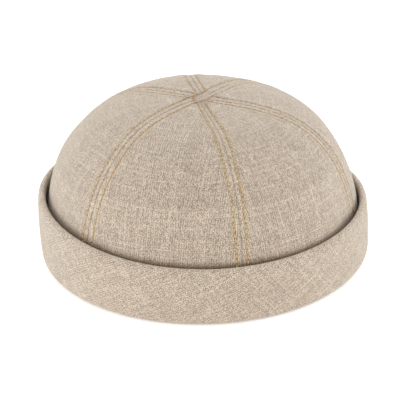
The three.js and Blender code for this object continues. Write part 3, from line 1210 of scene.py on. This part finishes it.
def thread_material(name):
    """Ochre two-ply thread: slanting plies from the coordinates along and around it.

    It turns to olive in stretches, is darker and redder round the seams' meeting point and pale
    where it is worn. A stitch gets painted shade by the fourth power of the distance from its
    middle, and painted light on its plies.
    """
    f = finish()
    s = sizes()
    material, shader, cover = new_material(name, "UV")
    around, along = axes(cover)
    turn = along * (2 * math.pi / PLY_LENGTH)
    ply = calc("SINE", around / sewing().thread * PLY_COUNT + turn) * 0.5 + 0.5
    place = cover.node("ShaderNodeTexCoord", {}, "Object")
    olive = noise_at(place, OLIVE_SCALE, 1.0, dimensions="3D")
    base = colour_ramp(olive, [(OCHRE_STOP, f.thread), (OLIVE_STOP, f.thread_olive)])
    meeting = (s.meeting_right, -s.meeting_front, s.height)
    away = vector_calc("DISTANCE", place, meeting, output="Value")
    patch = (noise_at(place, TOP_PATCH_SCALE, 1.0, dimensions="3D") - 0.5) * TOP_PATCH_SWING
    near = ((TOP_START - away * (1 / TOP_REACH)) + patch).clamped() * TOP_STRENGTH
    base = mixed(near, base, (*f.thread_top, 1))
    base = mixed(mark_value(cover, "faded"), base, (*f.thread_faded, 1))
    # Painted shade towards a stitch's ends, times painted light on its plies.
    end = abs(along * (2 / sewing().pitch) - 1.0) ** 4.0
    light = (ply * PLY_TOP + PLY_EDGE).clamped() * (1.0 - end * END_SHADE)
    base = vector_calc("SCALE", base, light, "Scale")
    set_inputs(shader, {
        "Base Color": base,
        "Normal": bumped(ply, THREAD_BUMP, THREAD_RELIEF),
        "Roughness": 0.6,
        "Sheen Weight": 0.15,
    })
    return material


# The floor's faint unevenness.
FLOOR_SCALE = 3.0
FLOOR_DARKEST = 0.99


def floor_material(name):
    """A plain pale table top with a barely uneven finish, faintly lit from below."""
    f = finish()
    material, shader, place = new_material(name, "Object")
    tone = noise_at(place, FLOOR_SCALE, dimensions="3D")
    darker = tuple(FLOOR_DARKEST * part for part in f.floor)
    set_inputs(shader, {
        "Base Color": colour_ramp(tone, [(0.3, darker), (0.7, f.floor)]),
        "Roughness": 0.9,
        "Emission Color": (1, 1, 1, 1),
        "Emission Strength": f.floor_glow,
    })
    return material


# The camera in front of the cap: degrees round it and above the table, its roll, its distance,
# how far its line of sight passes beside the frame's origin, and the focal length in pixels.
CAMERA_AZIMUTH = -9.41
CAMERA_ELEVATION = 22.666
CAMERA_ROLL = 2.958
CAMERA_DISTANCE = 1.190
CAMERA_RIGHT = -1.172 * MM
CAMERA_UP = 25.57 * MM
FOCAL_PIXELS = 2114.1
PICTURE_PIXELS = 400
SENSOR = 36.0


def oriented(data, right, up, back, place):
    """An object of the data's name at a place, its own x, y and z along three directions."""
    made = in_scene(data)
    matrix = np.eye(4)
    matrix[:3] = np.stack([right, up, back, place], axis=1)
    made.matrix_world = Matrix(matrix.tolist())
    return made


def make_camera():
    """The camera at the photograph's angle: back, right and up axes from azimuth and elevation."""
    a, e, roll = (math.radians(x) for x in (CAMERA_AZIMUTH, CAMERA_ELEVATION, CAMERA_ROLL))
    back = np.array([math.sin(a) * math.cos(e), -math.cos(a) * math.cos(e), math.sin(e)])
    right = np.array([math.cos(a), math.sin(a), 0])
    up = np.cross(back, right)
    place = right * CAMERA_RIGHT + up * CAMERA_UP + back * CAMERA_DISTANCE
    rolled_right = math.cos(roll) * right - math.sin(roll) * up
    rolled_up = math.sin(roll) * right + math.cos(roll) * up
    data = bpy.data.cameras.new("camera")
    data.sensor_width = SENSOR
    data.lens = FOCAL_PIXELS / PICTURE_PIXELS * SENSOR
    data.clip_start, data.clip_end = 0.1, 20
    bpy.context.scene.camera = oriented(data, rolled_right, rolled_up, back, place)


# Soft boxes round the cap: place, width and height in metres, and power in watts. They face a
# point inside it.
SOFT_BOXES = (
    {"name": "left", "place": (-1.3, -0.15, 0.55), "size": (1.6, 1.2), "power": 7.3},
    {"name": "right", "place": (1.3, -0.15, 0.55), "size": (1.6, 1.2), "power": 7.8},
    {"name": "back", "place": (0.0, 1.4, 0.9), "size": (2.2, 1.2), "power": 5},
    {"name": "front", "place": (-0.2, -1.9, 0.15), "size": (1.8, 0.6), "power": 4},
)
SOFT_BOX_AIM = (0, 0, 0.04)
WORLD_STRENGTH = 0.95


def make_lights():
    """Area lights that face the cap, and an even pale surround."""
    aim = np.array(SOFT_BOX_AIM)
    for box in SOFT_BOXES:
        data = bpy.data.lights.new(f"soft_box_{box['name']}", "AREA")
        data.shape = "RECTANGLE"
        data.size, data.size_y = box["size"]
        data.energy = box["power"]
        place = np.array(box["place"])
        back = unit(place - aim)
        right = unit(np.cross((0, 0, 1), back))
        oriented(data, right, np.cross(back, right), back, place)
    world = bpy.data.worlds.new("surround")
    bpy.context.scene.world = world
    world.use_nodes = True
    background = world.node_tree.nodes["Background"]
    background.inputs["Color"].default_value = (1, 1, 1, 1)
    background.inputs["Strength"].default_value = WORLD_STRENGTH
    bpy.context.scene.view_settings.view_transform = "Standard"
    bpy.context.scene.view_settings.exposure = 0


def make_floor():
    """A plane that the cuff stands on."""
    half = 3.0
    corners = np.array([[-half, -half, 0], [half, -half, 0], [half, half, 0], [-half, half, 0]])
    mesh = bpy.data.meshes.new("floor")
    mesh.from_pydata(corners.tolist(), [], [(0, 1, 2, 3)])
    mesh.materials.append(material_once("pale_floor", floor_material))
    floor = in_scene(mesh)


def material_once(name, make, *values):
    """The named material, made the first time that a piece asks for it."""
    return bpy.data.materials.get(name) or make(name, *values)


class CAP_OT_crown(bpy.types.Operator):
    """Build the six crown panels"""

    bl_idname = "cap.crown"
    bl_label = "Crown panels"

    def execute(self, context):
        linen = material_once("linen_weave", linen_material, CROWN_LIGHTNESS)
        for index in range(len(SEAMS)):
            panel_piece(index, linen)
        return {"FINISHED"}


class CAP_OT_cuff(bpy.types.Operator):
    """Build the turned-up cuff"""

    bl_idname = "cap.cuff"
    bl_label = "Cuff"

    def execute(self, context):
        # A copy of the linen painted lighter for the cuff: painted light.
        cuff_piece(material_once("linen_bias", linen_material, CUFF_LIGHTNESS_PAINTED))
        return {"FINISHED"}


class CAP_OT_topstitching(bpy.types.Operator):
    """Sew the topstitching beside each seam and the tack at the apex"""

    bl_idname = "cap.topstitching"
    bl_label = "Topstitching"

    def execute(self, context):
        thread = material_once("topstitch_thread", thread_material)
        for index in range(len(SEAMS)):
            stitched_seam(index, thread)
        apex_tack(thread)
        return {"FINISHED"}


class CAP_OT_stage(bpy.types.Operator):
    """Set the camera, the soft boxes and the pale floor"""

    bl_idname = "cap.stage"
    bl_label = "Stage"

    def execute(self, context):
        make_camera()
        make_lights()
        make_floor()
        return {"FINISHED"}


class CAP_PT_sidebar(bpy.types.Panel):
    """Sizes, colours and building steps"""

    bl_idname = "CAP_PT_sidebar"
    bl_label = "Docker cap"
    bl_space_type = "VIEW_3D"
    bl_region_type = "UI"
    bl_category = "Docker cap"

    def draw(self, context):
        for group in (context.scene.cap_sizes, context.scene.cap_sewing, context.scene.cap_finish):
            box = self.layout.box()
            for name in group.__annotations__:
                box.prop(group, name)
        for operator in OPERATORS:
            self.layout.operator(operator.bl_idname)


OPERATORS = (CAP_OT_stage, CAP_OT_crown, CAP_OT_cuff, CAP_OT_topstitching)
CLASSES = (CapSizes, SewingSizes, CapFinish, *OPERATORS, CAP_PT_sidebar)


def register():
    """Make the classes known and hang the properties on the scene."""
    for cls in CLASSES:
        bpy.utils.register_class(cls)
    bpy.types.Scene.cap_sizes = PointerProperty(type=CapSizes)
    bpy.types.Scene.cap_sewing = PointerProperty(type=SewingSizes)
    bpy.types.Scene.cap_finish = PointerProperty(type=CapFinish)


def unregister():
    """Take the properties and the classes away again."""
    del bpy.types.Scene.cap_finish
    del bpy.types.Scene.cap_sewing
    del bpy.types.Scene.cap_sizes
    for cls in reversed(CLASSES):
        bpy.utils.unregister_class(cls)


def main():
    """Build the stage and the cap."""
    register()
    bpy.ops.cap.stage()
    bpy.ops.cap.crown()
    bpy.ops.cap.cuff()
    bpy.ops.cap.topstitching()
    bpy.context.view_layer.update()


if __name__ == "__main__":
    main()
